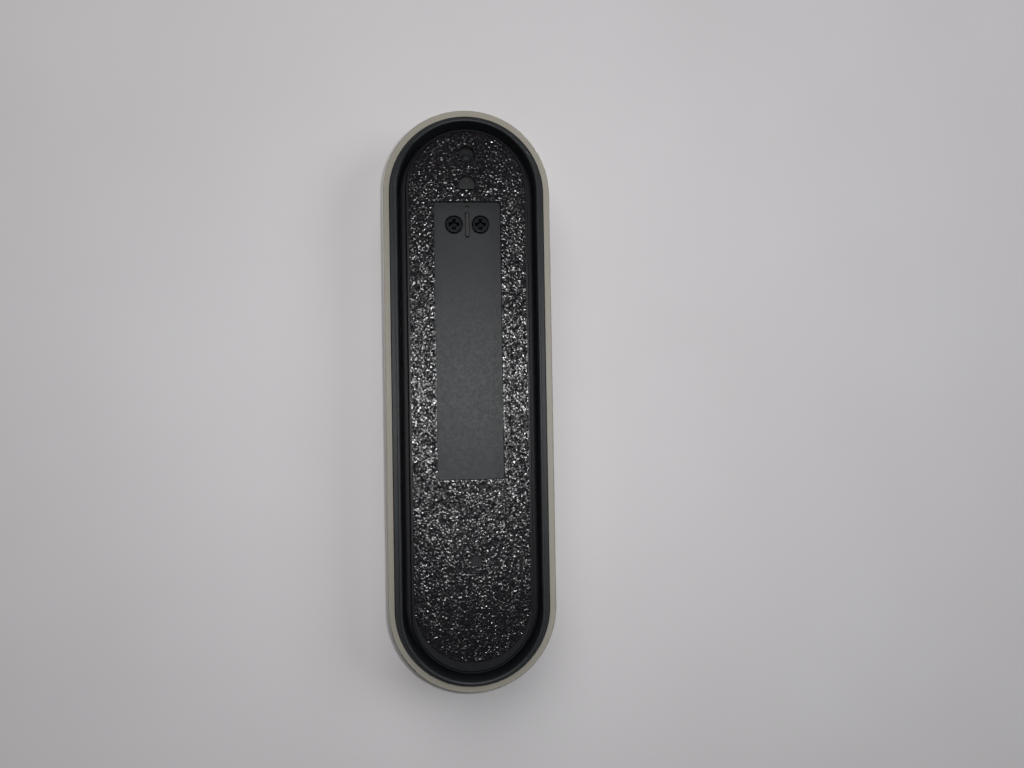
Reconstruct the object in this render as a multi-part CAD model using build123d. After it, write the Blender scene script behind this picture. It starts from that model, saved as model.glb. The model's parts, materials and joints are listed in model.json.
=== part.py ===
from build123d import *
import os
from math import cos, pi, sin

# A battery video doorbell on its wall plate, as it hangs on a wall. Millimetres.
# The frame: +Z up, +Y into the wall, +X to the right for a visitor who faces the doorbell.
# The origin is the centre of the flat face that beds on the wall, so the doorbell lies at negative Y.
# "Depth" is the distance out from the wall: depth d is the plane y = -d.

# ---- driving dimensions -------------------------------------------------------------------------
HEIGHT = 160.0
WIDTH = 46.0
TOTAL_DEPTH = 22.8
HALF_STRAIGHT = (HEIGHT - WIDTH) / 2  # from the centre to the centre of each round end

# depths at which the layers begin and end, from the wall outwards
PAD_THICK = 0.4
LIP_BACK = 0.8  # the rear housing's lip stands this far off the wall
PLATE_FRONT = 2.6
FLOOR_BACK = 2.7  # the rear housing's raised middle, seen through the wire window
SHELL_BACK = 4.0  # the front shell's rim, with the rear housing's flat band beside it
CHANNEL_FLOOR = 8.0
SPIGOT_FRONT = 12.0
SEAL_BACK = 5.8
SEAL_FRONT = 7.0
CHASSIS_BACK = 14.8
CHASSIS_FRONT = 16.0
BOARD_BACK = 16.4
BOARD_FRONT = 17.4
BUTTON_BOARD_BACK = 16.1
BUTTON_BOARD_FRONT = 17.1
FRONT_WALL_BACK = 20.8
WALL = 1.5  # wall thickness of the rear housing

# end radius of each pill outline, all on the same round-end centres
SHELL_R = WIDTH / 2
SHELL_INSIDE_R = 21.25
BAND_R = 21.15
LIP_OUTER_R = 19.6
SPIGOT_INSIDE_R = 19.45
CHANNEL_OUTER_R = 18.85
ISLAND_R = 15.9
PLATE_R = 16.45
PAD_R = 15.7
GROOVE_OUTER_R = 16.0
GROOVE_DEPTH = 0.8
CHASSIS_R = 19.0
SEAL_INSIDE_R = 20.3

# the wall plate
PAD_BOTTOM_LIFT = 2.3  # the pad stops this much short of the plate's bottom end
WIRE_WINDOW_WIDTH = 18.0
WIRE_WINDOW_HEIGHT = 75.5
WIRE_WINDOW_Z = 16.2
WIRE_WINDOW_CORNER = 0.9
SCREW_HOLE_Z = 66.9
LATCH_HOLE_Z = 58.6
LATCH_HOLE_R = 2.35
SCREW_HOLE_R = 2.1
SCREW_HOLE_LENGTH = 1.0  # the straight part, before the countersink for the screw's head
COUNTERSINK_R = 3.6
HOOK_BOTTOM = -73.1
HOOK_REACH = 4.4  # how deep the hook goes into the rear housing
PEG_X = -1.0
PEG_Z = -43.3
PEG_R = 1.35

# terminals and reset, in the wire window
TERMINAL_X = 3.62
TERMINAL_Z = 47.95
TERMINAL_HEAD_R = 2.3
TERMINAL_SHANK_R = 1.6
TERMINAL_HEAD_BACK = 2.0
TERMINAL_HEAD_FRONT = 3.2
WASHER_FRONT = 3.7
TERMINAL_LEDGE = 3.9
TERMINAL_BOSS_R = 2.15
DIVIDER_WIDTH = 0.75
DIVIDER_HEIGHT = 6.5
DIVIDER_BACK = 2.2
RESET_Z = 52.65
RESET_R = 0.5

# the charging port, behind the plate beside the wire window
PORT_X = 12.2
PORT_Z = 40.0

# the release latch
LATCH_TRAVEL = 1.5
LATCH_BOTTOM = 58.0
LATCH_TOP = 64.0
LATCH_WIDTH = 4.4
LATCH_SPRING_SEAT = 54.8
LATCH_OPENING_Z = 59.65
LATCH_OPENING_HEIGHT = 9.5
POCKET_FLOOR = 4.9  # the floor of the pocket behind the screw hole, above the latch
LATCH_SPRING_DEPTH = 5.9
RELEASE_PIN_DEPTH = 10.7
RELEASE_PIN_R = 1.1
KEEPER_X = 4.1

# the front
CAMERA_Z = 40.0
PANE_Z = 41.0
PANE_WIDTH = 26.0
PANE_HEIGHT = 50.0
PANE_BACK = 21.6
MOTION_Z = 24.0
BUTTON_Z = -42.0
BUTTON_R = 10.2
BUTTON_FRONT = 22.7
BUTTON_BACK = 19.7
LIGHT_RING_R = 12.4
MICROPHONE_Z = -60.0
SPEAKER_Z = -72.5

RUN = 0.06  # radial clearance of a pin in its bore

CASE_SCREW_PLACES = [(s * 11.8, z) for s in (-1, 1) for z in (58.0, 22.0)] + [(-8.0, -65.0), (8.0, -65.0)]
CHASSIS_SCREW_PLACES = [(s * 16.3, z) for s in (-1, 1) for z in (-50.0, 5.0, 60.0)]
BOARD_SCREW_PLACES = [(s * 11.0, z) for s in (-1, 1) for z in (18.0, 66.0)]
SWITCH_BOARD_SCREW_PLACES = [(-13.2, BUTTON_Z), (13.2, BUTTON_Z)]
TERMINAL_PLACES = [(-TERMINAL_X, TERMINAL_Z), (TERMINAL_X, TERMINAL_Z)]


# ---- helpers ------------------------------------------------------------------------------------
def at_depth(depth, outline):
    """Place an outline drawn in X and Z at a depth from the wall."""
    return Plane.XZ.offset(depth) * outline


def slab(outline, start, end):
    """An outline drawn in X and Z, made solid from one depth to another."""
    return extrude(at_depth(start, outline), amount=end - start)


def pill(radius):
    """The doorbell's outline, a tall slot with round ends of this radius."""
    return SlotCenterToCenter(2 * HALF_STRAIGHT, 2 * radius, rotation=90)


def disc(radius, x=0.0, z=0.0):
    return Pos(x, z) * Circle(radius)


def box(x, z, wide, tall):
    return Pos(x, z) * Rectangle(wide, tall)


def soft_box(x, z, wide, tall, corner):
    return Pos(x, z) * RectangleRounded(wide, tall, corner)


def tall_slot(z, wide, tall):
    return Pos(0, z) * SlotOverall(tall, wide, rotation=90)


def upright_rod(radius, depth, low, high):
    """A round rod that stands along Z at x = 0."""
    return Pos(0, -depth, (low + high) / 2) * Cylinder(radius, high - low)


def edges_at(part, depth):
    """The edges that lie flat in the plane at this depth."""
    in_plane = lambda e: abs(e.bounding_box().min.Y + depth) < 1e-4 and abs(e.bounding_box().max.Y + depth) < 1e-4
    return part.edges().filter_by(in_plane)


def pill_edges(part, depth, radius):
    """The edges in the plane at this depth that follow the pill outline of this radius."""
    def follows_pill(edge):
        extent = edge.bounding_box()
        return abs(max(-extent.min.X, extent.max.X) - radius) < 0.01
    return edges_at(part, depth).filter_by(follows_pill)


def at_places(places, make):
    """One group of separate solids, made by the same function at each place."""
    return Compound(children=[make(x, z) for x, z in places])


def coil(radius, wire_r, length, turns):
    """A compression spring that stands along +Z between z = 0 and z = length."""
    rise = length - 2 * wire_r
    helix = Pos(0, 0, wire_r) * Helix(pitch=rise / turns, height=rise, radius=radius)
    section = Plane(origin=helix @ 0, z_dir=helix % 0) * Circle(wire_r)
    return sweep(section, path=helix)


def cross(x, z, arm_length, arm_width):
    return box(x, z, arm_length, arm_width) + box(x, z, arm_width, arm_length)


def cross_recess(x, z, back, deep, arm_length, arm_width):
    """The tapered cross that a screwdriver fits."""
    mouth = at_depth(back - 0.01, cross(x, z, arm_length, arm_width))
    bottom = at_depth(back + deep, cross(x, z, 0.45 * arm_length, 0.45 * arm_width))
    return loft([mouth, bottom])


def pan_screw(x, z, head_back, head_front, tip, head_r, shank_r):
    """A cross-head screw that is driven from the wall side."""
    head = slab(disc(head_r, x, z), head_back, head_front)
    head = fillet(edges_at(head, head_back), 0.35)
    screw = head + slab(disc(shank_r, x, z), head_front, tip)
    deep = head_front - head_back
    return screw - cross_recess(x, z, head_back, deep, 1.25 * head_r, 0.42 * head_r)


# ---- the wall side ------------------------------------------------------------------------------
def plate_openings(start, end):
    """The wire window, the screw hole and the latch's peephole, cut through the pad and the plate."""
    window = soft_box(0, WIRE_WINDOW_Z, WIRE_WINDOW_WIDTH, WIRE_WINDOW_HEIGHT, WIRE_WINDOW_CORNER)
    holes = disc(SCREW_HOLE_R, 0, SCREW_HOLE_Z) + disc(LATCH_HOLE_R, 0, LATCH_HOLE_Z)
    return slab(window + holes, start - 1, end + 1)


def wall_plate():
    plate = slab(pill(PLATE_R), PAD_THICK, PLATE_FRONT)
    plate = fillet(edges_at(plate, PAD_THICK), 0.3)
    # a fine groove runs round just inside the rounded edge
    plate -= slab(pill(GROOVE_OUTER_R) - pill(PAD_R + 0.05), PAD_THICK - 1, PAD_THICK + GROOVE_DEPTH)
    plate -= plate_openings(PAD_THICK, PLATE_FRONT)
    countersink_start = PAD_THICK + SCREW_HOLE_LENGTH
    plate -= loft([
        at_depth(countersink_start, disc(SCREW_HOLE_R, 0, SCREW_HOLE_Z)),
        at_depth(PLATE_FRONT, disc(COUNTERSINK_R, 0, SCREW_HOLE_Z)),
    ])
    plate += slab(disc(PEG_R, PEG_X, PEG_Z), 0.06, PAD_THICK + 0.1)
    # two keepers, which the latch's wings hook under
    for side in (-1, 1):
        plate += slab(box(side * KEEPER_X, 61.95, 1.4, 1.3), PLATE_FRONT - 0.1, 5.6)
        plate += slab(box(side * KEEPER_X, 61.2, 1.4, 0.2), 4.8, 5.6)
    # the hook that carries the doorbell's bottom end, with its nose up
    plate += slab(box(0, HOOK_BOTTOM + 0.45, 10.0, 0.9), PLATE_FRONT - 0.1, HOOK_REACH)
    plate += slab(box(0, HOOK_BOTTOM + 1.15, 10.0, 0.5), HOOK_REACH - 0.6, HOOK_REACH)
    return plate


def grip_pad():
    """The textured pad that beds on the wall, shorter than the plate at the bottom."""
    length = 2 * HALF_STRAIGHT - PAD_BOTTOM_LIFT
    outline = Pos(0, PAD_BOTTOM_LIFT / 2) * SlotCenterToCenter(length, 2 * PAD_R, rotation=90)
    pad = slab(outline, 0, PAD_THICK) - plate_openings(0, PAD_THICK)
    return pad - slab(disc(PEG_R + 0.05, PEG_X, PEG_Z), -1, PAD_THICK + 1)


# ---- housing ------------------------------------------------------------------------------------
def front_shell():
    shell = slab(pill(SHELL_R), SHELL_BACK, TOTAL_DEPTH)
    shell = fillet(edges_at(shell, TOTAL_DEPTH), 4.0)
    shell = fillet(edges_at(shell, SHELL_BACK), 0.5)
    inside = slab(pill(SHELL_INSIDE_R), SHELL_BACK - 1, FRONT_WALL_BACK)
    shell -= fillet(edges_at(inside, FRONT_WALL_BACK), 2.0)
    # the camera pane's recess, on a ledge, and the opening behind it
    shell -= slab(tall_slot(PANE_Z, PANE_WIDTH, PANE_HEIGHT), PANE_BACK - 0.2, TOTAL_DEPTH + 1)
    shell -= slab(tall_slot(PANE_Z, PANE_WIDTH - 4, PANE_HEIGHT - 4), FRONT_WALL_BACK - 1, TOTAL_DEPTH)
    shell -= slab(disc(LIGHT_RING_R + 0.05, 0, BUTTON_Z), FRONT_WALL_BACK - 1, TOTAL_DEPTH + 1)
    shell -= slab(disc(0.6, 0, MICROPHONE_Z), FRONT_WALL_BACK - 1, TOTAL_DEPTH + 1)
    # the speaker's slots, in the bottom end
    for i in range(-2, 3):
        shell -= Pos(3.0 * i, -16.2, -HEIGHT / 2) * Box(1.4, 5.0, 8.0)
    # the hole in the top end that takes the release pin
    shell -= upright_rod(RELEASE_PIN_R, RELEASE_PIN_DEPTH, HEIGHT / 2 - 4, HEIGHT / 2 + 1)
    for x, z in CHASSIS_SCREW_PLACES:
        shell += slab(disc(1.9, x, z), CHASSIS_FRONT + 0.05, FRONT_WALL_BACK + 0.2)
        shell -= slab(disc(0.85, x, z), CHASSIS_FRONT, FRONT_WALL_BACK - 0.6)
    return shell


def rear_housing_blank():
    """The flat band, the lip, the channel round the wall plate and the raised middle, as one tray."""
    tray = slab(pill(BAND_R), SHELL_BACK, SPIGOT_FRONT)
    tray = chamfer(edges_at(tray, SHELL_BACK), 0.15)
    tray += slab(pill(LIP_OUTER_R), LIP_BACK, SHELL_BACK + 0.1)
    tray -= slab(pill(CHANNEL_OUTER_R), LIP_BACK - 1, FLOOR_BACK)
    tray -= slab(pill(CHANNEL_OUTER_R) - pill(ISLAND_R), LIP_BACK - 1, CHANNEL_FLOOR)
    tray = fillet(pill_edges(tray, LIP_BACK, LIP_OUTER_R), 0.15)
    tray = fillet(pill_edges(tray, LIP_BACK, CHANNEL_OUTER_R), 0.45)
    tray -= slab(pill(ISLAND_R - WALL), FLOOR_BACK + WALL, SPIGOT_FRONT + 1)
    tray -= slab(pill(SPIGOT_INSIDE_R), CHANNEL_FLOOR + WALL, SPIGOT_FRONT + 1)
    # the groove for the seal against the front shell
    tray -= slab(pill(BAND_R + 1) - pill(SEAL_INSIDE_R), SEAL_BACK, SEAL_FRONT)
    return tray


def rear_housing():
    tray = rear_housing_blank()
    inner = FLOOR_BACK + WALL
    # each case screw's head is sunk in a thicker place
    for x, z in CASE_SCREW_PLACES:
        tray += slab(disc(2.8, x, z), inner - 0.5, inner + 1.4)
        tray -= slab(disc(2.1, x, z), FLOOR_BACK - 1, inner + 0.1)
        tray -= slab(disc(1.1, x, z), FLOOR_BACK, inner + 2)
    # stepped holes for the terminals, then the slot of their divider and the reset pinhole
    for x, z in TERMINAL_PLACES:
        tray -= slab(disc(TERMINAL_HEAD_R + 0.3, x, z), FLOOR_BACK - 1, TERMINAL_LEDGE)
        tray -= slab(disc(TERMINAL_BOSS_R + 0.1, x, z), FLOOR_BACK, inner + 1)
    divider_slot = soft_box(0, TERMINAL_Z, DIVIDER_WIDTH + 0.5, DIVIDER_HEIGHT + 0.5, 0.55)
    tray -= slab(divider_slot, FLOOR_BACK - 1, inner + 1)
    tray -= slab(disc(RESET_R + RUN, 0, RESET_Z), FLOOR_BACK - 1, inner + 1)
    # a pocket behind the plate's screw hole, in a thicker place, with a round-topped nub low in it
    tray += slab(disc(3.4, 0, SCREW_HOLE_Z), inner - 0.2, POCKET_FLOOR + 0.8)
    tray -= slab(disc(2.5, 0, SCREW_HOLE_Z), FLOOR_BACK - 1, POCKET_FLOOR)
    nub = slab(disc(1.4, 0, SCREW_HOLE_Z - 0.75), FLOOR_BACK + 0.1, POCKET_FLOOR + 0.2)
    tray += fillet(edges_at(nub, FLOOR_BACK + 0.1), 0.7)
    # openings for the latch with the plate's keepers, for the charging port and for the release pin
    tray -= slab(box(0, LATCH_OPENING_Z, 11.2, LATCH_OPENING_HEIGHT), FLOOR_BACK - 1, POCKET_FLOOR + 1)
    tray -= slab(soft_box(PORT_X, PORT_Z, 3.9, 9.6, 1.9), FLOOR_BACK - 1, inner + 1)
    tray -= upright_rod(RELEASE_PIN_R, RELEASE_PIN_DEPTH, 75.0, 80.0)
    # the notch that takes the plate's hook, closed off from the inside
    tray += slab(pill(ISLAND_R - 0.2) & box(0, -71.5, 13.0, 4.6), inner - 0.2, 6.4)
    tray -= slab(box(0, -72.4, 10.8, 2.8), FLOOR_BACK - 1, 5.2)
    return tray


def channel_gasket():
    """The black weather seal that lies in the channel round the wall plate."""
    strip = slab(pill(CHANNEL_OUTER_R - 0.1) - pill(ISLAND_R + 0.1), 6.0, CHANNEL_FLOOR)
    return fillet(edges_at(strip, 6.0), 1.2)


def case_seal():
    """The seal in the rear housing's groove, against the front shell."""
    return slab(pill(SHELL_INSIDE_R - 0.05) - pill(SEAL_INSIDE_R + 0.05), SEAL_BACK + 0.05, SEAL_FRONT - 0.05)


def case_screws():
    inner = FLOOR_BACK + WALL
    return at_places(CASE_SCREW_PLACES, lambda x, z: pan_screw(x, z, 3.0, inner + 0.1, 11.0, 1.9, 0.85))


# ---- chassis and power --------------------------------------------------------------------------
def chassis_frame():
    """The inner plate that carries the boards, with posts for the case screws and rests for the main board."""
    plate = slab(pill(CHASSIS_R) & box(0, 4.0, 2 * CHASSIS_R, 145.0), CHASSIS_BACK, CHASSIS_FRONT)
    plate -= slab(disc(8.5, 0, CAMERA_Z), CHASSIS_BACK - 1, CHASSIS_FRONT + 1)
    plate -= slab(box(0, 50.5, 12.0, 6.0), CHASSIS_BACK - 1, CHASSIS_FRONT + 1)
    for x, z in CASE_SCREW_PLACES:
        plate += slab(disc(2.1, x, z), 5.65, CHASSIS_BACK + 0.2)
        plate -= slab(disc(0.9, x, z), 5.0, 12.0)
    for x, z in CHASSIS_SCREW_PLACES:
        plate -= slab(disc(0.95, x, z), CHASSIS_BACK - 1, CHASSIS_FRONT + 1)
    for x, z in BOARD_SCREW_PLACES:
        plate += slab(disc(1.6, x, z), CHASSIS_FRONT - 0.1, BOARD_BACK)
    for x, z in SWITCH_BOARD_SCREW_PLACES:
        plate += slab(disc(1.6, x, z), CHASSIS_FRONT - 0.1, BUTTON_BOARD_BACK)
    for x, z in BOARD_SCREW_PLACES + SWITCH_BOARD_SCREW_PLACES:
        plate -= slab(disc(0.75, x, z), CHASSIS_BACK - 1, BOARD_BACK + 1)
    return plate


def chassis_screws():
    return at_places(CHASSIS_SCREW_PLACES, lambda x, z: pan_screw(x, z, 13.6, CHASSIS_BACK, 19.8, 1.7, 0.8))


def battery_pack():
    pack = slab(soft_box(0, -23.5, 27.0, 77.0, 3.0), 4.6, 14.6)
    return fillet(edges_at(pack, 4.6) + edges_at(pack, 14.6), 1.0)


def battery_pad():
    return slab(soft_box(0, -23.5, 22.0, 60.0, 1.0), FLOOR_BACK + WALL, 4.6)


def battery_connector():
    plug = slab(soft_box(0, 17.0, 8.0, 4.0, 0.5), 7.0, 10.0)
    return plug - slab(box(0, 19.0, 6.8, 2.0), 7.6, 9.4)


# ---- electronics --------------------------------------------------------------------------------
def main_board():
    board = slab(soft_box(0, 44.0, 27.0, 58.0, 2.0), BOARD_BACK, BOARD_FRONT)
    board -= slab(disc(7.5, 0, CAMERA_Z), BOARD_BACK - 1, BOARD_FRONT + 1)
    for x, z in BOARD_SCREW_PLACES:
        board -= slab(disc(0.75, x, z), BOARD_BACK - 1, BOARD_FRONT + 1)
    return board


def board_chips():
    """Processor, memory, power and video chips, each a separate package on the main board."""
    packages = [(-6.5, 59.0, 9.0, 9.0), (-7.5, 50.5, 6.0, 4.0), (10.0, 24.0, 4.0, 6.0), (-10.0, 24.5, 4.0, 5.0)]
    chips = [slab(soft_box(x, z, wide, tall, 0.3), BOARD_FRONT, BOARD_FRONT + 1.1) for x, z, wide, tall in packages]
    return Compound(children=chips)


def radio_shield():
    """The folded tin can over the radio."""
    can = slab(soft_box(6.0, 58.0, 11.0, 12.0, 0.6), BOARD_FRONT, BOARD_FRONT + 1.8)
    return can - slab(box(6.0, 58.0, 10.4, 11.4), BOARD_FRONT - 1, BOARD_FRONT + 1.5)


def small_screw(x, z, board_front):
    """A board screw, driven from the front."""
    head = fillet(edges_at(slab(disc(1.2, x, z), board_front, board_front + 0.8), board_front + 0.8), 0.2)
    screw = head + slab(disc(0.7, x, z), CHASSIS_BACK + 0.3, board_front)
    return screw - slab(cross(x, z, 1.4, 0.35), board_front + 0.4, board_front + 1)


def board_screws():
    main = [small_screw(x, z, BOARD_FRONT) for x, z in BOARD_SCREW_PLACES]
    switch = [small_screw(x, z, BUTTON_BOARD_FRONT) for x, z in SWITCH_BOARD_SCREW_PLACES]
    return Compound(children=main + switch)


def wifi_antenna():
    """A thin strip along the shell's inside wall."""
    return Pos(SHELL_INSIDE_R - 0.2, -16.0, 25.0) * Box(0.25, 6.0, 45.0)


def terminal_board():
    return slab(soft_box(0, 48.9, 17.0, 9.6, 0.8), 9.5, 10.3)


def terminal_block():
    """The insulating block behind the terminals, with the divider that stands between them."""
    block = slab(soft_box(0, 47.65, 16.4, 7.4, 0.8), 5.3, 9.4)
    for x, z in TERMINAL_PLACES:
        block -= slab(disc(2.65, x, z), 5.0, 9.0)
    return block + slab(soft_box(0, TERMINAL_Z, DIVIDER_WIDTH, DIVIDER_HEIGHT, 0.35), DIVIDER_BACK, 5.4)


def terminal_contact(x, z):
    """A brass contact plate, with a boss up to the screw and a threaded collar behind it."""
    side = 1 if x > 0 else -1
    contact = slab(soft_box(x + 0.2 * side, z, 6.0, 7.0, 0.4), 4.25, 5.25)
    contact += slab(disc(TERMINAL_BOSS_R, x, z), WASHER_FRONT + 0.05, 4.3)
    contact += slab(disc(2.6, x, z), 5.2, 7.5)
    return contact - slab(disc(TERMINAL_SHANK_R + RUN, x, z), 3.0, 8.0)


def terminal_contacts():
    return at_places(TERMINAL_PLACES, terminal_contact)


def terminal_screw(x):
    return pan_screw(
        x, TERMINAL_Z, TERMINAL_HEAD_BACK, TERMINAL_HEAD_FRONT, 8.6, TERMINAL_HEAD_R, TERMINAL_SHANK_R
    )


def terminal_washer(x):
    """The washer that stays on the screw and presses the wire down."""
    ring = disc(TERMINAL_HEAD_R, x, TERMINAL_Z) - disc(TERMINAL_SHANK_R + RUN, x, TERMINAL_Z)
    return slab(ring, TERMINAL_HEAD_FRONT, WASHER_FRONT)


def reset_switch():
    body = slab(soft_box(0, RESET_Z, 3.0, 2.1, 0.3), 7.6, 9.5)
    return body - slab(disc(RESET_R + RUN, 0, RESET_Z), 7.0, 8.8)


def reset_plunger():
    """A pin with a collar behind the wall, pressed with a wire through the pinhole."""
    pin = slab(disc(RESET_R, 0, RESET_Z), 3.3, 8.2)
    return pin + slab(disc(0.85, 0, RESET_Z), 4.6, 5.1)


def charging_port():
    """A USB-C receptacle's steel shell, set upright."""
    shell = slab(soft_box(PORT_X, PORT_Z, 3.16, 8.94, 1.55), 2.9, 9.9)
    return shell - slab(soft_box(PORT_X, PORT_Z, 2.56, 8.34, 1.25), 1.9, 9.4)


def port_tongue():
    return slab(soft_box(PORT_X, PORT_Z, 0.7, 6.7, 0.2), 3.9, 9.4)


def port_board():
    return slab(soft_box(11.6, PORT_Z, 5.2, 15.0, 0.6), 9.95, 10.75)


# ---- camera and sensors -------------------------------------------------------------------------
def camera_pane():
    pane = slab(tall_slot(PANE_Z, PANE_WIDTH - 0.1, PANE_HEIGHT - 0.1), PANE_BACK, TOTAL_DEPTH)
    pane = fillet(edges_at(pane, TOTAL_DEPTH), 0.3)
    return pane - slab(disc(6.0, 0, CAMERA_Z), PANE_BACK - 1, TOTAL_DEPTH + 1)


def pane_gasket():
    frame = tall_slot(PANE_Z, PANE_WIDTH - 0.4, PANE_HEIGHT - 0.4) - tall_slot(PANE_Z, PANE_WIDTH - 3.8, PANE_HEIGHT - 3.8)
    return slab(frame, PANE_BACK - 0.2, PANE_BACK)


def lens_cover():
    return slab(disc(5.95, 0, CAMERA_Z), PANE_BACK + 0.1, TOTAL_DEPTH)


def lens_barrel():
    barrel = slab(disc(7.0, 0, CAMERA_Z), 12.1, 17.0) + slab(disc(5.5, 0, CAMERA_Z), 17.0, 21.2)
    barrel -= slab(disc(5.2, 0, CAMERA_Z), 11.0, 15.0)
    barrel -= slab(disc(2.6, 0, CAMERA_Z), 14.0, 22.0)
    mouth = loft([at_depth(19.9, disc(3.6, 0, CAMERA_Z)), at_depth(21.2, disc(4.9, 0, CAMERA_Z))])
    return barrel - mouth


def lens_elements():
    """Two glass elements in the barrel's bore."""
    elements = [slab(disc(2.55, 0, CAMERA_Z), start, start + 1.2) for start in (15.6, 18.4)]
    return Compound(children=[fillet(edges_at(e, -e.bounding_box().min.Y), 0.4) for e in elements])


def sensor_board():
    return slab(soft_box(0, CAMERA_Z, 16.0, 16.0, 1.0), 10.9, 11.8)


def image_sensor():
    return slab(soft_box(0, CAMERA_Z, 6.6, 5.4, 0.3), 11.8, 12.7)


def camera_ribbon():
    """The flat cable from the sensor board round to the main board."""
    along = slab(box(0, 49.2, 8.0, 4.0), 11.85, 12.05)
    return along + slab(box(0, 51.1, 8.0, 0.2), 11.85, BOARD_BACK)


def infrared_led(x, z):
    led = slab(disc(1.5, x, z), BOARD_FRONT, 20.0)
    return fillet(edges_at(led, 20.0), 1.2)


def infrared_leds():
    return at_places([(s * 9.7, z) for s in (-1, 1) for z in (33.5, 46.5)], infrared_led)


def motion_sensor():
    can = fillet(edges_at(slab(disc(4.2, 0, MOTION_Z), BOARD_FRONT, 20.2), 20.2), 0.4)
    return can - slab(soft_box(0, MOTION_Z, 4.0, 3.0, 0.3), 20.0, 21.0)


def motion_lens():
    """The domed lens in front of the motion sensor."""
    lens = slab(disc(5.4, 0, MOTION_Z), 20.3, 21.5)
    return fillet(edges_at(lens, 21.5), 0.9)


# ---- button -------------------------------------------------------------------------------------
def button_cap():
    cap = slab(disc(BUTTON_R, 0, BUTTON_Z), BUTTON_BACK, BUTTON_FRONT)
    cap = fillet(edges_at(cap, BUTTON_FRONT), 0.6)
    cap += slab(disc(11.2, 0, BUTTON_Z), BUTTON_BACK, 20.6)
    cap -= slab(disc(9.0, 0, BUTTON_Z) - disc(6.2, 0, BUTTON_Z), BUTTON_BACK - 1, 21.2)
    # the face is dished very slightly for the fingertip
    dish_r = 160.0
    return cap - Pos(0, -(BUTTON_FRONT - 0.3 + dish_r), BUTTON_Z) * Sphere(dish_r)


def light_ring():
    ring = slab(disc(LIGHT_RING_R, 0, BUTTON_Z) - disc(BUTTON_R + 0.1, 0, BUTTON_Z), 20.7, TOTAL_DEPTH)
    ring = fillet(edges_at(ring, TOTAL_DEPTH), 0.3)
    return ring + slab(disc(13.6, 0, BUTTON_Z) - disc(11.6, 0, BUTTON_Z), 19.9, 20.75)


def button_board():
    outline = disc(14.5, 0, BUTTON_Z) + soft_box(0, -57.0, 10.0, 12.0, 1.0)
    board = slab(outline, BUTTON_BOARD_BACK, BUTTON_BOARD_FRONT)
    for x, z in SWITCH_BOARD_SCREW_PLACES:
        board -= slab(disc(0.75, x, z), BUTTON_BOARD_BACK - 1, BUTTON_BOARD_FRONT + 1)
    return board


def ring_leds():
    count = 8
    turn = 2 * pi / count
    places = [(11.35 * cos((i + 0.5) * turn), BUTTON_Z + 11.35 * sin((i + 0.5) * turn)) for i in range(count)]
    return at_places(places, lambda x, z: slab(box(x, z, 1.6, 1.6), BUTTON_BOARD_FRONT, 17.8))


def button_switch():
    body = slab(soft_box(0, BUTTON_Z, 6.0, 6.0, 0.5), BUTTON_BOARD_FRONT, 18.6)
    return body - slab(disc(1.5 + RUN, 0, BUTTON_Z), 17.15, 19.0)


def switch_plunger():
    return slab(disc(1.5, 0, BUTTON_Z), 18.0, BUTTON_BACK)


def button_spring():
    spring = coil(radius=4.6, wire_r=0.22, length=BUTTON_BACK - BUTTON_BOARD_FRONT, turns=3)
    return Pos(0, -BUTTON_BOARD_FRONT, BUTTON_Z) * Rot(90, 0, 0) * spring


# ---- sound --------------------------------------------------------------------------------------
def speaker_frame():
    frame = slab(soft_box(0, SPEAKER_Z, 18.0, 6.2, 1.0), 12.4, 19.8)
    return frame - Pos(0, -16.1, SPEAKER_Z - 3.1) * Box(15.0, 5.6, 2.4)


def speaker_cone():
    """The oval membrane that faces the slots in the bottom end."""
    outline = Pos(0, -16.1, SPEAKER_Z - 2.9) * SlotOverall(14.6, 5.2)
    return fillet(extrude(outline, amount=0.9).edges().group_by(Axis.Z)[-1], 0.3)


def microphone():
    return slab(soft_box(0, MICROPHONE_Z, 3.6, 2.6, 0.2), BUTTON_BOARD_FRONT, 18.1)


def microphone_boot():
    return slab(disc(1.6, 0, MICROPHONE_Z) - disc(0.6, 0, MICROPHONE_Z), 18.1, FRONT_WALL_BACK)


# ---- release latch ------------------------------------------------------------------------------
def release_latch():
    """The slider that hooks under the plate's keepers, pushed down by a pin from the top end."""
    middle = (LATCH_BOTTOM + LATCH_TOP) / 2
    slider = slab(box(0, middle, LATCH_WIDTH, LATCH_TOP - LATCH_BOTTOM), 3.3, 9.0)
    slider += slab(box(0, 60.2, 10.0, 1.4), 3.4, 5.4)
    slider += slab(box(0, 61.5, 12.2, 3.0), 6.0, 8.0)
    slider += slab(box(0, 62.5, LATCH_WIDTH, 3.0), 8.9, 11.8)
    for i in range(-2, 3):
        slider += slab(box(0.85 * i, middle, 0.4, LATCH_TOP - LATCH_BOTTOM), 3.0, 3.4)
    return slider


def latch_cover():
    """The channel that guides the latch and seats its spring."""
    cover = slab(box(0, 59.9, 14.4, 12.2), 4.25, 13.0)
    cover -= slab(box(0, 60.9, 12.4, 12.2), 4.0, 12.0)
    return cover


def latch_spring():
    spring = coil(radius=1.4, wire_r=0.2, length=LATCH_BOTTOM - LATCH_SPRING_SEAT, turns=3)
    return Pos(0, -LATCH_SPRING_DEPTH, LATCH_SPRING_SEAT) * spring


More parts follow.
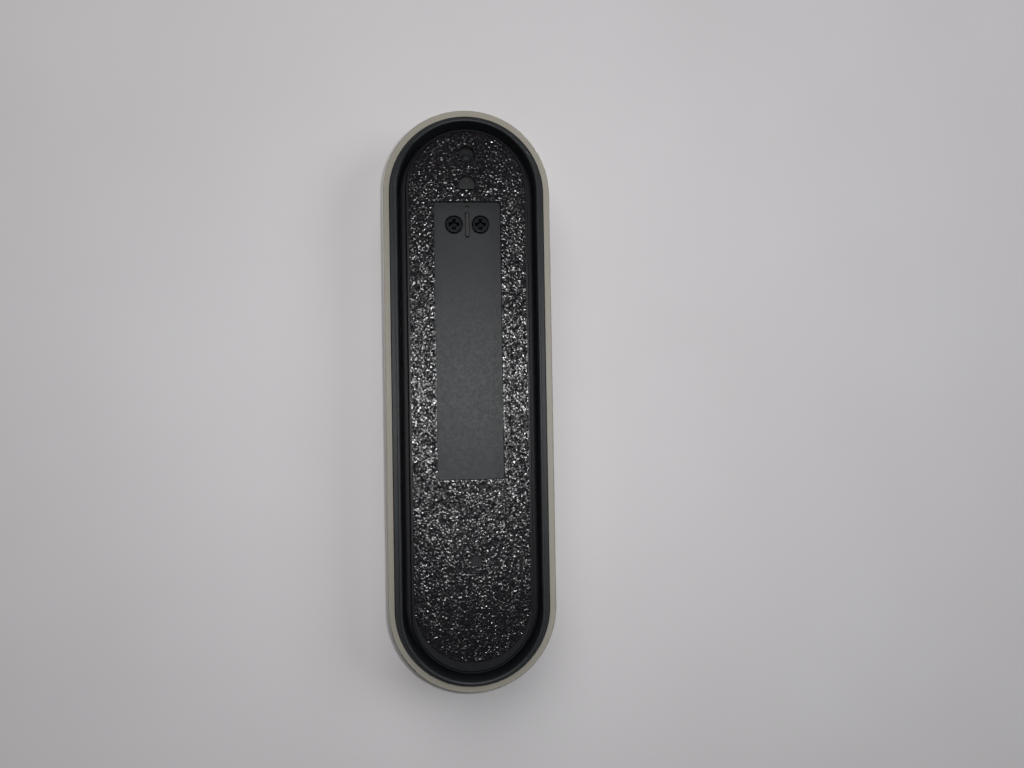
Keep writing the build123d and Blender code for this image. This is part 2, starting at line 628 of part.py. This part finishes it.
# ---- all the pieces -----------------------------------------------------------------------------
PIECES = [
    wall_plate, grip_pad,
    front_shell, rear_housing, channel_gasket, case_seal, case_screws,
    chassis_frame, chassis_screws, battery_pack, battery_pad, battery_connector,
    main_board, board_chips, radio_shield, board_screws, wifi_antenna,
    terminal_board, terminal_block, terminal_contacts, reset_switch, reset_plunger,
    charging_port, port_tongue, port_board,
    camera_pane, pane_gasket, lens_cover, lens_barrel, lens_elements, sensor_board, image_sensor,
    camera_ribbon, infrared_leds, motion_sensor, motion_lens,
    button_cap, light_ring, button_board, ring_leds, button_switch, switch_plunger, button_spring,
    speaker_frame, speaker_cone, microphone, microphone_boot,
    release_latch, latch_cover, latch_spring,
]


def save(name, part):
    export_step(part, f"parts/{name}.step")


os.makedirs("parts", exist_ok=True)
for piece in PIECES:
    save(piece.__name__, piece())
for side_name, side_x in (("left", -TERMINAL_X), ("right", TERMINAL_X)):
    save(f"terminal_screw_{side_name}", terminal_screw(side_x))
    save(f"terminal_washer_{side_name}", terminal_washer(side_x))
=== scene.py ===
import json
from math import cos, hypot, pi, radians, sin

import bmesh
import bpy
import numpy as np
from mathutils import Matrix, Vector
from mathutils.geometry import delaunay_2d_cdt


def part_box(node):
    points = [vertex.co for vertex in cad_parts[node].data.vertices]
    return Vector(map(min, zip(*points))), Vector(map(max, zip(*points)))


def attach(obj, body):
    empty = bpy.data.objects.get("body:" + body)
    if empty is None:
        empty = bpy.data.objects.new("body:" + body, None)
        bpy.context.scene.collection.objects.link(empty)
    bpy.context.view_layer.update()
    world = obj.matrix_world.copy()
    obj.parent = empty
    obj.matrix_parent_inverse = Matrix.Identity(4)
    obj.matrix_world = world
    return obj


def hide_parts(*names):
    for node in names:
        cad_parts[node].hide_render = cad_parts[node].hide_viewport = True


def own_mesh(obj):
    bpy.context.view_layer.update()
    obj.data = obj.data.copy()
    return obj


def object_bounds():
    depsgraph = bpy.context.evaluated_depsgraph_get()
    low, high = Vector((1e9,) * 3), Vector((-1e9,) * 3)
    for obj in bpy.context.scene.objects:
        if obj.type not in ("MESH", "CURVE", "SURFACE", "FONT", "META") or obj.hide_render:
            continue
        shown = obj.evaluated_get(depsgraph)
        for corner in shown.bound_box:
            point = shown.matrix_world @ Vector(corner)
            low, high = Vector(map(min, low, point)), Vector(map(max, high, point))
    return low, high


# The looks of a battery video doorbell that lies face down on a pale table, seen from above its back.
# Metres, in the frame of the CAD model: +Z up along the doorbell, +Y out of its back, X across it.
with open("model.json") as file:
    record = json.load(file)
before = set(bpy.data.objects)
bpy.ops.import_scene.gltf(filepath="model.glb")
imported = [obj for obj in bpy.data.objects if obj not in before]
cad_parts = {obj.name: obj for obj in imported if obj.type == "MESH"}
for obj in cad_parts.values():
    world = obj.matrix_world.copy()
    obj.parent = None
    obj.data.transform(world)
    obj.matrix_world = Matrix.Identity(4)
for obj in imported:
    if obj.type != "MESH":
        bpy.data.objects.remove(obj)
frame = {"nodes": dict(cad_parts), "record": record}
cad_low, cad_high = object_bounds()
nodes = frame["nodes"]

MM = 0.001
SEED = 7


# ---- camera --------------------------------------------------------------------------------------
CAMERA_PLACE = Vector((5.5, 207.3, 0.7)) * MM
CAMERA_LENS = 27.04
CAMERA_TILTS = (("Z", -0.87), ("Y", -4.65), ("X", -0.95))  # roll, yaw and pitch, in degrees


def make_camera():
    """A phone held nearly square above the doorbell's back, a little to one side."""
    turn = Matrix.Identity(3)
    for axis, angle in CAMERA_TILTS:
        turn = turn @ Matrix.Rotation(radians(angle), 3, axis)
    # picture right is -X, picture down is -Z and away from the camera is -Y
    picture_to_frame = Matrix(((-1, 0, 0), (0, 0, -1), (0, -1, 0)))
    right, down, ahead = (picture_to_frame @ row for row in turn)
    data = bpy.data.cameras.new("camera")
    data.lens = CAMERA_LENS
    data.sensor_width = 36.0
    data.clip_start = 0.01
    camera = bpy.data.objects.new("camera", data)
    bpy.context.scene.collection.objects.link(camera)
    facing = Matrix((right, -down, -ahead)).transposed().to_4x4()
    camera.matrix_world = Matrix.Translation(CAMERA_PLACE) @ facing
    bpy.context.scene.camera = camera


# ---- material helpers ----------------------------------------------------------------------------
class Nodes:
    """A small builder for one node material."""

    def __init__(self, name):
        self.material = bpy.data.materials.new(name)
        self.material.use_nodes = True
        self.tree = self.material.node_tree
        self.shader = self.tree.nodes["Principled BSDF"]
        self.place = self.add("ShaderNodeTexCoord").outputs["Object"]

    def add(self, kind, **settings):
        node = self.tree.nodes.new(kind)
        for key, value in settings.items():
            setattr(node, key, value)
        return node

    def link(self, source, target):
        self.tree.links.new(source, target)

    def set(self, **values):
        """Sets shader sockets, with the words of their names joined by an underscore."""
        for name, value in values.items():
            self.shader.inputs[name.replace("_", " ")].default_value = value

    def noise(self, size, detail=2.0, rough=0.5, stretch=None):
        """A noise whose blobs are about this many millimetres across."""
        noise = self.add("ShaderNodeTexNoise")
        noise.inputs["Scale"].default_value = 1 / (size * MM)
        noise.inputs["Detail"].default_value = detail
        noise.inputs["Roughness"].default_value = rough
        place = self.place
        if stretch:
            mapping = self.add("ShaderNodeMapping")
            mapping.inputs["Scale"].default_value = stretch
            self.link(place, mapping.inputs["Vector"])
            place = mapping.outputs["Vector"]
        self.link(place, noise.inputs["Vector"])
        return noise.outputs["Fac"]

    def cells(self, size, feature="F1"):
        cells = self.add("ShaderNodeTexVoronoi", feature=feature)
        cells.inputs["Scale"].default_value = 1 / (size * MM)
        self.link(self.place, cells.inputs["Vector"])
        return cells

    def spread(self, source, low, high, start=0.3, end=0.7):
        """Maps a noise to a range of numbers."""
        spread = self.add("ShaderNodeMapRange")
        spread.inputs["From Min"].default_value = start
        spread.inputs["From Max"].default_value = end
        spread.inputs["To Min"].default_value = low
        spread.inputs["To Max"].default_value = high
        self.link(source, spread.inputs["Value"])
        return spread.outputs["Result"]

    def ramp(self, source, stops):
        ramp = self.add("ShaderNodeValToRGB")
        elements = ramp.color_ramp.elements
        while len(elements) < len(stops):
            elements.new(0.5)
        for element, (where, colour) in zip(elements, stops):
            element.position = where
            element.color = (*colour, 1.0)
        self.link(source, ramp.inputs["Fac"])
        return ramp.outputs["Color"]

    def blend(self, share, first, second, how="MIX"):
        mix = self.add("ShaderNodeMix", data_type="RGBA", blend_type=how)
        for source, socket_name in ((share, "Factor"), (first, "A"), (second, "B")):
            socket = mix.inputs[socket_name]
            if isinstance(source, bpy.types.NodeSocket):
                self.link(source, socket)
            elif isinstance(source, tuple):
                socket.default_value = (*source, 1.0)
            else:
                socket.default_value = source
        return mix.outputs["Result"]

    def bump(self, height, depth, strength=1.0):
        """Raises the surface where the height is 1 by this many millimetres."""
        bump = self.add("ShaderNodeBump")
        bump.inputs["Strength"].default_value = strength
        bump.inputs["Distance"].default_value = depth * MM
        before = self.shader.inputs["Normal"]
        if before.is_linked:
            self.link(before.links[0].from_socket, bump.inputs["Normal"])
        self.link(height, bump.inputs["Height"])
        self.link(bump.outputs["Normal"], before)

    def colour(self, source):
        self.link(source, self.shader.inputs["Base Color"])

    def roughness(self, source):
        self.link(source, self.shader.inputs["Roughness"])


def shade(colour, factor):
    return tuple(min(1.0, c * factor) for c in colour)


def moulded(name, colour, rough, grain=0.25, depth=0.01, mottle=0.08, rough_spread=0.04):
    """Moulded plastic or rubber: a fine spark-eroded grain, slight mottling and an uneven gloss."""
    m = Nodes(name)
    cloud = m.noise(9.0, detail=3)
    tone = m.ramp(cloud, [(0.3, shade(colour, 1 - mottle)), (0.7, shade(colour, 1 + mottle))])
    speck = m.noise(grain, detail=1)
    fine = m.ramp(speck, [(0.35, (0.86, 0.86, 0.86)), (0.65, (1.14, 1.14, 1.14))])
    m.colour(m.blend(1.0, tone, fine, "MULTIPLY"))
    m.roughness(m.spread(m.noise(0.6, detail=2), rough - rough_spread, rough + rough_spread))
    m.bump(speck, depth)
    return m


def metal(name, colour, rough, stretch=None, depth=0.004):
    m = Nodes(name)
    m.set(Metallic=1.0)
    brushed = m.noise(0.35, detail=3, stretch=stretch)
    m.colour(m.ramp(brushed, [(0.3, shade(colour, 0.82)), (0.7, shade(colour, 1.1))]))
    m.roughness(m.spread(brushed, rough - 0.07, rough + 0.1))
    m.bump(brushed, depth)
    return m


# ---- materials, one for each slot of the record --------------------------------------------------
def shell_plastic():
    m = moulded("shell_plastic", (0.335, 0.318, 0.272), 0.5, grain=0.16, depth=0.006, mottle=0.03)
    return m.material


def button_plastic():
    return moulded("button_plastic", (0.36, 0.345, 0.3), 0.48, grain=0.16, depth=0.006, mottle=0.03).material


def rear_plastic():
    """Dark satin plastic with a fine grain."""
    m = moulded("rear_plastic", (0.021, 0.0235, 0.026), 0.5, grain=0.2, depth=0.006, mottle=0.06)
    return m.material


def plate_plastic():
    return moulded("plate_plastic", (0.008, 0.009, 0.012), 0.45, grain=0.2, depth=0.006, mottle=0.06).material


def pad_rubber():
    """Hard glossy rubber: the facets are in the mesh, and a fine crumb breaks up each of them."""
    m = Nodes("pad_rubber")
    tint = m.cells(0.5).outputs["Color"]
    base = m.ramp(m.noise(5.0, detail=3), [(0.35, (0.002, 0.002, 0.0045)), (0.65, (0.0045, 0.003, 0.0045))])
    m.colour(m.blend(0.12, base, tint, "SOFT_LIGHT"))
    m.roughness(m.spread(m.noise(0.8, detail=2), 0.16, 0.34))
    m.set(Specular_IOR_Level=0.75)
    m.bump(m.noise(0.12, detail=2), 0.01)
    return m.material


def black_rubber():
    return moulded("black_rubber", (0.005, 0.0055, 0.008), 0.6, grain=0.3, depth=0.01).material


def inner_plastic():
    return moulded("inner_plastic", (0.03, 0.03, 0.032), 0.55, grain=0.3, depth=0.01).material


def latch_plastic():
    return moulded("latch_plastic", (0.035, 0.037, 0.04), 0.45, grain=0.2, depth=0.008).material


def black_steel():
    return metal("black_steel", (0.03, 0.032, 0.034), 0.5).material


def steel():
    return metal("steel", (0.62, 0.62, 0.6), 0.3).material


def spring_steel():
    return metal("spring_steel", (0.85, 0.84, 0.8), 0.18, depth=0.002).material


def brass():
    return metal("brass", (0.72, 0.53, 0.26), 0.3).material


def circuit_board():
    """Green solder mask with raised copper tracks under it."""
    m = Nodes("circuit_board")
    tracks = m.add("ShaderNodeTexBrick", offset=0.37, squash=1.4)
    tracks.inputs["Scale"].default_value = 1 / (2.2 * MM)
    tracks.inputs["Mortar Size"].default_value = 0.06
    mapping = m.add("ShaderNodeMapping")
    mapping.inputs["Rotation"].default_value = (radians(90), 0, 0)
    m.link(m.place, mapping.inputs["Vector"])
    m.link(mapping.outputs["Vector"], tracks.inputs["Vector"])
    mask = m.ramp(m.noise(6.0), [(0.3, (0.012, 0.07, 0.035)), (0.7, (0.02, 0.1, 0.05))])
    m.colour(m.blend(tracks.outputs["Fac"], mask, (0.035, 0.16, 0.07)))
    m.set(Roughness=0.3)
    m.bump(tracks.outputs["Fac"], 0.03)
    return m.material


def chip_plastic():
    return moulded("chip_plastic", (0.018, 0.018, 0.02), 0.5, grain=0.15, depth=0.006).material


def battery_wrap():
    """Dark blue shrink film with faint wrinkles."""
    m = Nodes("battery_wrap")
    m.colour(m.ramp(m.noise(14.0, detail=3), [(0.3, (0.02, 0.045, 0.12)), (0.7, (0.03, 0.06, 0.15))]))
    m.set(Roughness=0.28)
    m.bump(m.noise(5.0, detail=3, stretch=(1.0, 1.0, 0.2)), 0.08)
    return m.material


def foam():
    """Closed-cell foam."""
    m = Nodes("foam")
    cells = m.cells(0.5).outputs["Distance"]
    # the colour darkens towards each cell's pit, following the same field that sinks the bump: painted shade
    # in the pits
    m.colour(m.ramp(cells, [(0.0, (0.012, 0.012, 0.012)), (0.7, (0.04, 0.04, 0.04))]))
    m.set(Roughness=0.9)
    m.bump(cells, 0.05)
    return m.material


def antenna_film():
    """Amber polyimide film over a copper pattern."""
    m = Nodes("antenna_film")
    m.colour(m.ramp(m.noise(3.0), [(0.4, (0.28, 0.13, 0.03)), (0.6, (0.4, 0.2, 0.05))]))
    m.set(Roughness=0.25)
    m.bump(m.noise(0.8), 0.01)
    return m.material


def pane_gloss():
    """Polished black acrylic with faint smears that show in its gloss."""
    m = Nodes("pane_gloss")
    smear = m.noise(7.0, detail=5, stretch=(1.0, 1.0, 0.4))
    m.colour(m.ramp(smear, [(0.3, (0.004, 0.004, 0.005)), (0.7, (0.007, 0.007, 0.008))]))
    m.roughness(m.spread(smear, 0.03, 0.14))
    m.bump(m.noise(0.1), 0.0006)
    return m.material


def lens_glass():
    """Coated glass, nearly clear, with a faint violet bloom."""
    m = Nodes("lens_glass")
    m.colour(m.ramp(m.noise(4.0), [(0.3, (0.75, 0.8, 0.95)), (0.7, (0.85, 0.85, 1.0))]))
    m.roughness(m.spread(m.noise(2.0, detail=4), 0.01, 0.05))
    m.set(Transmission_Weight=0.95, IOR=1.5, Coat_Weight=0.4, Coat_Tint=(0.6, 0.5, 1.0, 1.0))
    return m.material


def led_resin():
    m = Nodes("led_resin")
    m.colour(m.ramp(m.noise(0.8), [(0.3, (0.75, 0.74, 0.66)), (0.7, (0.88, 0.87, 0.8))]))
    m.roughness(m.spread(m.noise(0.5), 0.08, 0.2))
    m.set(Transmission_Weight=0.4, IOR=1.5)
    return m.material


def milky_lens():
    """Milky plastic that lets some light through."""
    m = Nodes("milky_lens")
    m.colour(m.ramp(m.noise(3.0, detail=3), [(0.3, (0.72, 0.73, 0.72)), (0.7, (0.8, 0.81, 0.79))]))
    m.roughness(m.spread(m.noise(0.4), 0.22, 0.36))
    m.set(Subsurface_Weight=0.4, Subsurface_Radius=(0.001, 0.001, 0.001))
    m.bump(m.noise(0.3), 0.004)
    return m.material


def speaker_film():
    """Pressed film with the sheen of a thin membrane."""
    m = moulded("speaker_film", (0.05, 0.05, 0.052), 0.3, grain=0.4, depth=0.01)
    return m.material


SLOT_MATERIALS = [
    shell_plastic, rear_plastic, plate_plastic, pad_rubber, black_rubber, inner_plastic, latch_plastic,
    black_steel, steel, spring_steel, brass, circuit_board, chip_plastic, battery_wrap, foam, antenna_film,
    pane_gloss, lens_glass, led_resin, milky_lens, button_plastic, speaker_film,
]


def finish_cad_nodes(materials):
    """Gives every CAD node the material of its slot."""
    for part in frame["record"]["subparts"]:
        node = nodes[part["node"]]
        node.data.materials.clear()
        node.data.materials.append(materials[part["material_slot"]])


# ---- shapes --------------------------------------------------------------------------------------
def new_piece(name, points, faces, material, body, smooth=False):
    mesh = bpy.data.meshes.new(name)
    mesh.from_pydata([tuple(p) for p in points], [], [tuple(f) for f in faces])
    mesh.validate()
    mesh.update()
    mesh.polygons.foreach_set("use_smooth", [smooth] * len(mesh.polygons))
    mesh.materials.append(material)
    piece = bpy.data.objects.new(name, mesh)
    bpy.context.scene.collection.objects.link(piece)
    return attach(piece, body)


def round_loop(x, z, radius, step):
    """Points round a circle, about one step apart."""
    count = max(12, round(2 * pi * radius / step))
    angles = [2 * pi * i / count for i in range(count)]
    return [(x + radius * cos(angle), z + radius * sin(angle)) for angle in angles]


def straight_run(start, end, step):
    """Points from start up to but not including end."""
    count = max(1, round(hypot(end[0] - start[0], end[1] - start[1]) / step))
    return [tuple(a + (b - a) * i / count for a, b in zip(start, end)) for i in range(count)]


def pill_loop(radius, low_centre, high_centre, step):
    """Points round a pill that stands along Z, with its two round-end centres on the axis."""
    half = max(12, round(pi * radius / step))
    top = [(radius * cos(pi * i / half), high_centre + radius * sin(pi * i / half)) for i in range(half)]
    bottom = [(-radius * cos(pi * i / half), low_centre - radius * sin(pi * i / half)) for i in range(half)]
    left = straight_run((-radius, high_centre), (-radius, low_centre), step)
    right = straight_run((radius, low_centre), (radius, high_centre), step)
    return top + left + bottom + right


def box_loop(low_x, high_x, low_z, high_z, step):
    corners = [(low_x, low_z), (high_x, low_z), (high_x, high_z), (low_x, high_z)]
    points = []
    for i, corner in enumerate(corners):
        points += straight_run(corner, corners[(i + 1) % 4], step)
    return points


# the pad's outline and openings, as the CAD has them
PAD_LOW, PAD_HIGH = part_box("grip_pad")
PAD_RADIUS = PAD_HIGH.x
PAD_TOP_CENTRE = PAD_HIGH.z - PAD_RADIUS
PAD_BOTTOM_CENTRE = PAD_LOW.z + PAD_RADIUS
WINDOW_HALF_WIDTH = 9.0 * MM
WINDOW_LOW = -21.55 * MM
WINDOW_HIGH = 53.95 * MM
ROUND_OPENINGS = [(0.0, 66.9 * MM, 2.1 * MM), (0.0, 58.6 * MM, 2.35 * MM), (-1.0 * MM, -43.3 * MM, 1.4 * MM)]

GRAIN_STEP = 0.34 * MM
GRAIN_HEIGHT = 0.11 * MM
PAD_EDGE_DROP = 0.06 * MM
GRAIN_ROW_STEP = 0.87  # rows of grains lie this much closer than grains in a row
GRAIN_SCATTER = 0.34  # how far a grain strays from its place, in steps
GRAIN_BIAS = 1.3  # above 1 makes shallow pits commoner than deep ones


def inside_pad(x, z, margin=0.0):
    """True where the pad has material, at least this far from its edges."""
    from_axis = hypot(x, z - min(max(z, PAD_BOTTOM_CENTRE), PAD_TOP_CENTRE))
    if from_axis > PAD_RADIUS - margin:
        return False
    if abs(x) < WINDOW_HALF_WIDTH + margin and WINDOW_LOW - margin < z < WINDOW_HIGH + margin:
        return False
    return all(hypot(x - cx, z - cz) > radius + margin for cx, cz, radius in ROUND_OPENINGS)


def pad_loops():
    loops = [pill_loop(PAD_RADIUS, PAD_BOTTOM_CENTRE, PAD_TOP_CENTRE, GRAIN_STEP)]
    loops.append(box_loop(-WINDOW_HALF_WIDTH, WINDOW_HALF_WIDTH, WINDOW_LOW, WINDOW_HIGH, GRAIN_STEP))
    loops += [round_loop(x, z, radius, GRAIN_STEP) for x, z, radius in ROUND_OPENINGS]
    return loops


def flat_triangles(points, loop_edges):
    """Triangles over the pad's area through these points, as point triples."""
    scale = 1 / MM
    flat = [Vector((x * scale, z * scale)) for x, z in points]
    verts, _, faces, origins, _, _ = delaunay_2d_cdt(flat, loop_edges, [], 0, 1e-5)
    source = [o[0] if o else None for o in origins]
    kept = []
    for face in faces:
        if any(source[i] is None for i in face):
            continue
        middle = sum((verts[i] for i in face), Vector((0, 0))) * MM / 3
        if inside_pad(middle.x, middle.y):
            kept.append(tuple(source[i] for i in face))
    return kept


def pad_grain(material):
    """The pad as a crust of small sharp facets, closed round its edges and underneath."""
    random = np.random.default_rng(SEED)
    loops = pad_loops()
    edge_points = [p for loop in loops for p in loop]
    loop_edges, first = [], 0
    for loop in loops:
        loop_edges += [(first + i, first + (i + 1) % len(loop)) for i in range(len(loop))]
        first += len(loop)
    rows = int((PAD_HIGH.z - PAD_LOW.z) / (GRAIN_STEP * GRAIN_ROW_STEP)) + 1
    columns = int(2 * PAD_RADIUS / GRAIN_STEP) + 1
    inner = []
    for row in range(rows):
        for column in range(columns):
            x = -PAD_RADIUS + (column + 0.5 * (row % 2)) * GRAIN_STEP
            z = PAD_LOW.z + row * GRAIN_STEP * GRAIN_ROW_STEP
            shift = random.uniform(-GRAIN_SCATTER, GRAIN_SCATTER, 2) * GRAIN_STEP
            if inside_pad(x + shift[0], z + shift[1], 0.5 * GRAIN_STEP):
                inner.append((x + shift[0], z + shift[1]))
    heights = -GRAIN_HEIGHT * random.uniform(0, 1, len(inner)) ** GRAIN_BIAS
    upper = [(x, -PAD_EDGE_DROP, z) for x, z in edge_points]
    upper += [(x, y, z) for (x, z), y in zip(inner, heights)]
    lower = [(x, PAD_LOW.y, z) for x, z in edge_points]
    top_faces = flat_triangles(edge_points + inner, loop_edges)
    bottom_faces = [tuple(reversed(f)) for f in flat_triangles(edge_points, loop_edges)]
    under = len(upper)
    walls = [(a, b, under + b, under + a) for a, b in loop_edges]
    faces = top_faces + walls + [tuple(under + i for i in f) for f in bottom_faces]
    piece = new_piece("pad_grain", upper + lower, faces, material, "wall_side")
    make_normals_outward(piece)
    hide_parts("grip_pad")


def make_normals_outward(piece):
    mesh = bmesh.new()
    mesh.from_mesh(piece.data)
    bmesh.ops.recalc_face_normals(mesh, faces=mesh.faces)
    mesh.to_mesh(piece.data)
    mesh.free()


def coil_shape(radius, wire, length, turns):
    """A compression spring along +Z from the origin, with a closed flat turn at each end."""
    steps_per_turn, sides, closed_turns = 28, 10, 0.75
    total = turns + 2 * closed_turns
    steps = int(total * steps_per_turn)
    points = []
    for step in range(steps + 1):
        turn = total * step / steps
        rise = min(max((turn - closed_turns) / turns, 0.0), 1.0)
        middle = wire + (length - 2 * wire) * rise
        if turn < closed_turns:
            middle = wire
        angle = 2 * pi * turn
        for side in range(sides):
            around = 2 * pi * side / sides
            out = radius + wire * cos(around)
            points.append((out * cos(angle), out * sin(angle), middle + wire * sin(around)))
    faces = [tuple(reversed(range(sides)))]
    for step in range(steps):
        low = step * sides
        for side in range(sides):
            beside = (side + 1) % sides
            faces.append((low + side, low + beside, low + sides + beside, low + sides + side))
    faces.append(tuple(range(steps * sides, (steps + 1) * sides)))
    return points, faces


def spring(name, node, radius, wire, turns, axis, material):
    """A spring in place of its CAD node, riding with the doorbell's body."""
    low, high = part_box(node)
    along_z = abs(axis.z) > 0.5
    length = (high.z - low.z) if along_z else (high.y - low.y)
    points, faces = coil_shape(radius, wire, length, turns)
    middle = (low + high) / 2
    if along_z:
        anchor = Vector((middle.x, middle.y, low.z))
        placed = [(anchor.x + x, anchor.y + y, anchor.z + z) for x, y, z in points]
    else:
        anchor = Vector((middle.x, high.y, middle.z))
        placed = [(anchor.x + x, anchor.y - z, anchor.z + y) for x, y, z in points]
    piece = new_piece(name, placed, faces, material, "doorbell", smooth=True)
    make_normals_outward(piece)
    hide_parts(node)
    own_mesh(piece)


# ---- stage and light -----------------------------------------------------------------------------
TABLE_GAP = 0.15 * MM
TABLE_SIZE = 1.6


def table_material():
    """Pale matt board, slightly uneven, which only shows from the side that the doorbell lies on."""
    m = Nodes("table")
    cloud = m.ramp(m.noise(60.0, detail=4), [(0.3, (0.70, 0.685, 0.70)), (0.7, (0.73, 0.72, 0.735))])
    m.colour(cloud)
    m.set(Roughness=0.7, Specular_IOR_Level=0.2)
    facing = m.add("ShaderNodeNewGeometry").outputs["Backfacing"]
    clear = m.add("ShaderNodeBsdfTransparent")
    mix = m.add("ShaderNodeMixShader")
    m.link(facing, mix.inputs["Fac"])
    m.link(m.shader.outputs["BSDF"], mix.inputs[1])
    m.link(clear.outputs["BSDF"], mix.inputs[2])
    m.link(mix.outputs["Shader"], m.tree.nodes["Material Output"].inputs["Surface"])
    return m.material


def make_table():
    """The table under the doorbell's face. Light and reflections pass it, so the face is lit too."""
    y = cad_low.y - TABLE_GAP
    half = TABLE_SIZE / 2
    corners = [(-half, y, -half), (-half, y, half), (half, y, half), (half, y, -half)]
    mesh = bpy.data.meshes.new("table")
    mesh.from_pydata(corners, [], [(0, 1, 2, 3)])
    mesh.materials.append(table_material())
    table = bpy.data.objects.new("table", mesh)
    bpy.context.scene.collection.objects.link(table)
    table.visible_shadow = False
    table.visible_diffuse = False
    table.visible_glossy = False


def area_light(name, place, target, size, power, colour=(1, 1, 1), reflected=True):
    data = bpy.data.lights.new(name, "AREA")
    data.shape = "DISK"
    data.size = size
    data.energy = power
    data.color = colour
    light = bpy.data.objects.new(name, data)
    light.location = place
    light.rotation_euler = (Vector(target) - Vector(place)).to_track_quat("-Z", "Y").to_euler()
    light.visible_glossy = reflected
    bpy.context.scene.collection.objects.link(light)


def make_lights():
    centre = (0, 0, 0)
    area_light("phone_lamp", (-0.0025, 0.207, 0.004), centre, 0.006, 0.16)
    area_light("soft_top", (0.1, 0.62, 0.5), centre, 0.7, 2.9, (1.0, 0.98, 0.97), reflected=False)
    area_light("soft_side", (-0.55, 0.5, 0.15), centre, 0.4, 1.3, (0.97, 0.98, 1.0), reflected=False)
    area_light("front_left", (-0.5, -0.7, 0.45), centre, 0.45, 7.0)
    area_light("front_right", (0.6, -0.6, 0.2), centre, 0.45, 4.0)


def make_world():
    """A pale surround to look at, and a dimmer one for light and reflections."""
    world = bpy.data.worlds.new("surround")
    world.use_nodes = True
    bpy.context.scene.world = world
    tree = world.node_tree
    seen = tree.nodes.new("ShaderNodeLightPath").outputs["Is Camera Ray"]
    strength = tree.nodes.new("ShaderNodeMapRange")
    strength.inputs["To Min"].default_value = 0.06
    strength.inputs["To Max"].default_value = 0.62
    tree.links.new(seen, strength.inputs["Value"])
    background = tree.nodes["Background"]
    background.inputs["Color"].default_value = (1.0, 0.985, 0.99, 1.0)
    tree.links.new(strength.outputs["Result"], background.inputs["Strength"])


# ---- the scene -----------------------------------------------------------------------------------
make_camera()
make_world()
make_lights()
make_table()
bpy.context.scene.view_settings.view_transform = "Standard"

materials = {make.__name__: make() for make in SLOT_MATERIALS}
finish_cad_nodes(materials)
pad_grain(materials["pad_rubber"])
spring("latch_coil", "latch_spring", 1.4 * MM, 0.2 * MM, 2.5, Vector((0, 0, 1)),
       materials["spring_steel"])
spring("button_coil", "button_spring", 4.6 * MM, 0.22 * MM, 3, Vector((0, 1, 0)),
       materials["spring_steel"])
